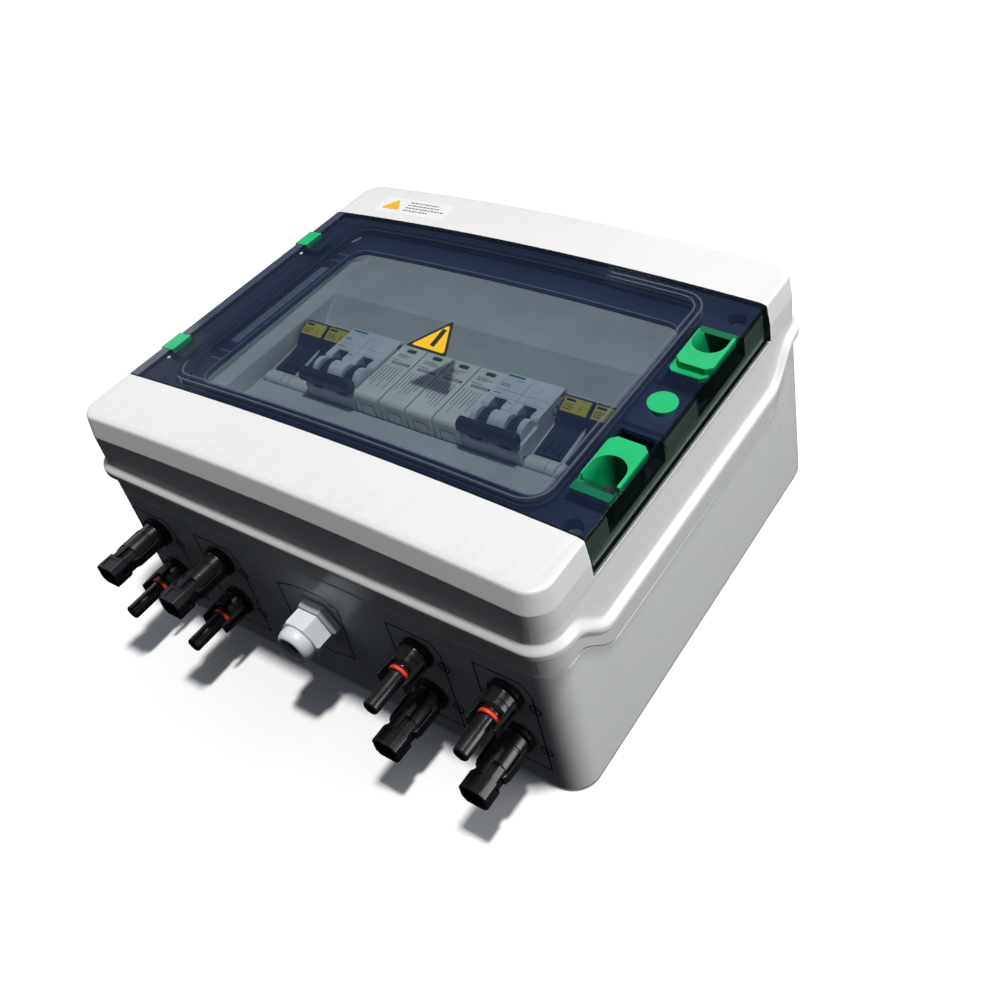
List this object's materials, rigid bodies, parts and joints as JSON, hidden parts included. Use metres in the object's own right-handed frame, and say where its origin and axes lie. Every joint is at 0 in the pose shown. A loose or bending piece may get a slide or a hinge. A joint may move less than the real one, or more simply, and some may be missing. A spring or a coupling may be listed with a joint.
{
  "type": "dc combiner box",
  "caption": "Wall box that joins solar string cables behind fuses, breakers and surge arresters, with a tinted side-hinged door and two slide latches.",
  "frame": {"origin": "centre of the back face, on the wall plane", "axes": "+X to the right of the box as mounted, +Y up along the wall, +Z out of the wall through the door; the cable entries point to -Y"},
  "size_m": [0.3004, 0.2889, 0.1425],
  "materials": {
    "case_grey": "moulded, glossy light grey",
    "cover_pale": "moulded, satin off-white",
    "gasket_rubber": "matte",
    "panel_grey": "moulded, fine grain",
    "zinc_steel": "zinc plated",
    "tinted_door": "clear smoked polycarbonate, navy tint",
    "green_plastic": "moulded, glossy",
    "breaker_grey": "moulded, satin cool grey",
    "toggle_dark": "moulded, satin",
    "fuse_ceramic": "glazed ceramic tube with metal end caps",
    "surge_ivory": "moulded, satin off-white",
    "connector_black": "moulded, semi-gloss black",
    "ring_red": "silicone",
    "gland_pale": "polyamide, satin",
    "brass": "machined"
  },
  "bodies": {
    "enclosure": {"base_shell": "case_grey", "front_cover": "cover_pale", "cover_gasket": "gasket_rubber", "gland_seal": "gasket_rubber", "device_surround": "panel_grey", "surge_base_1": "panel_grey", "surge_base_2": "panel_grey", "din_rail": "zinc_steel", "rail_bracket_left": "zinc_steel", "rail_bracket_right": "zinc_steel", "hinge_pin_upper": "zinc_steel", "hinge_pin_lower": "zinc_steel", "cover_screw_1": "zinc_steel", "cover_screw_2": "zinc_steel", "cover_screw_3": "zinc_steel", "cover_screw_4": "zinc_steel", "breaker_1": "breaker_grey", "breaker_2": "breaker_grey", "fuse_base_1": "breaker_grey", "fuse_base_2": "breaker_grey", "fuse_base_3": "breaker_grey", "fuse_base_4": "breaker_grey", "string_socket_1": "connector_black", "string_socket_2": "connector_black", "string_socket_3": "connector_black", "string_socket_4": "connector_black", "string_plug_1": "connector_black", "string_plug_2": "connector_black", "string_plug_3": "connector_black", "string_plug_4": "connector_black", "plug_ring_1": "ring_red", "plug_ring_2": "ring_red", "plug_ring_3": "ring_red", "plug_ring_4": "ring_red", "gland_body": "gland_pale", "gland_cap": "gland_pale", "gland_locknut": "gland_pale", "earth_bar": "brass"},
    "door": {"door": "tinted_door", "door_seal": "gasket_rubber", "lock_cap": "green_plastic", "hinge_clip_upper": "green_plastic", "hinge_clip_lower": "green_plastic"},
    "latch_upper": {"latch_upper": "green_plastic"},
    "latch_lower": {"latch_lower": "green_plastic"},
    "toggle_1": {"breaker_toggle_1": "toggle_dark"},
    "toggle_2": {"breaker_toggle_2": "toggle_dark"},
    "carrier_1": {"fuse_carrier_1": "toggle_dark", "fuse_link_1": "fuse_ceramic"},
    "carrier_2": {"fuse_carrier_2": "toggle_dark", "fuse_link_2": "fuse_ceramic"},
    "carrier_3": {"fuse_carrier_3": "toggle_dark", "fuse_link_3": "fuse_ceramic"},
    "carrier_4": {"fuse_carrier_4": "toggle_dark", "fuse_link_4": "fuse_ceramic"},
    "cartridge_1": {"surge_cartridge_1": "surge_ivory"},
    "cartridge_2": {"surge_cartridge_2": "surge_ivory"},
    "cartridge_3": {"surge_cartridge_3": "surge_ivory"},
    "cartridge_4": {"surge_cartridge_4": "surge_ivory"}
  },
  "joints": [
    {"name": "door_hinge", "type": "hinge", "parent": "enclosure", "child": "door", "pos_m": [-0.1433, 0, 0.13446], "axis": [0, -1, 0], "range_deg": [0, 120]},
    {"name": "latch_upper_slide", "type": "slide", "parent": "door", "child": "latch_upper", "axis": [0, -1, 0], "range_m": [0, 0.006], "stiffness_N_per_m": 300},
    {"name": "latch_lower_slide", "type": "slide", "parent": "door", "child": "latch_lower", "axis": [0, 1, 0], "range_m": [0, 0.006], "stiffness_N_per_m": 300},
    {"name": "toggle_1_swing", "type": "hinge", "parent": "enclosure", "child": "toggle_1", "pos_m": [-0.054, -0.02, 0.108], "axis": [-1, 0, 0], "range_deg": [0, 82]},
    {"name": "toggle_2_swing", "type": "hinge", "parent": "enclosure", "child": "toggle_2", "pos_m": [0.054, -0.02, 0.108], "axis": [-1, 0, 0], "range_deg": [0, 82]},
    {"name": "carrier_1_tilt", "type": "hinge", "parent": "enclosure", "child": "carrier_1", "pos_m": [-0.099, -0.024, 0.104], "axis": [1, 0, 0], "range_deg": [0, 40]},
    {"name": "carrier_2_tilt", "type": "hinge", "parent": "enclosure", "child": "carrier_2", "pos_m": [-0.081, -0.024, 0.104], "axis": [1, 0, 0], "range_deg": [0, 40]},
    {"name": "carrier_3_tilt", "type": "hinge", "parent": "enclosure", "child": "carrier_3", "pos_m": [0.081, -0.024, 0.104], "axis": [1, 0, 0], "range_deg": [0, 40]},
    {"name": "carrier_4_tilt", "type": "hinge", "parent": "enclosure", "child": "carrier_4", "pos_m": [0.099, -0.024, 0.104], "axis": [1, 0, 0], "range_deg": [0, 40]},
    {"name": "cartridge_1_pull", "type": "slide", "parent": "enclosure", "child": "cartridge_1", "axis": [0, 0, 1], "range_m": [0, 0.018]},
    {"name": "cartridge_2_pull", "type": "slide", "parent": "enclosure", "child": "cartridge_2", "axis": [0, 0, 1], "range_m": [0, 0.018]},
    {"name": "cartridge_3_pull", "type": "slide", "parent": "enclosure", "child": "cartridge_3", "axis": [0, 0, 1], "range_m": [0, 0.018]},
    {"name": "cartridge_4_pull", "type": "slide", "parent": "enclosure", "child": "cartridge_4", "axis": [0, 0, 1], "range_m": [0, 0.018]}
  ]
}
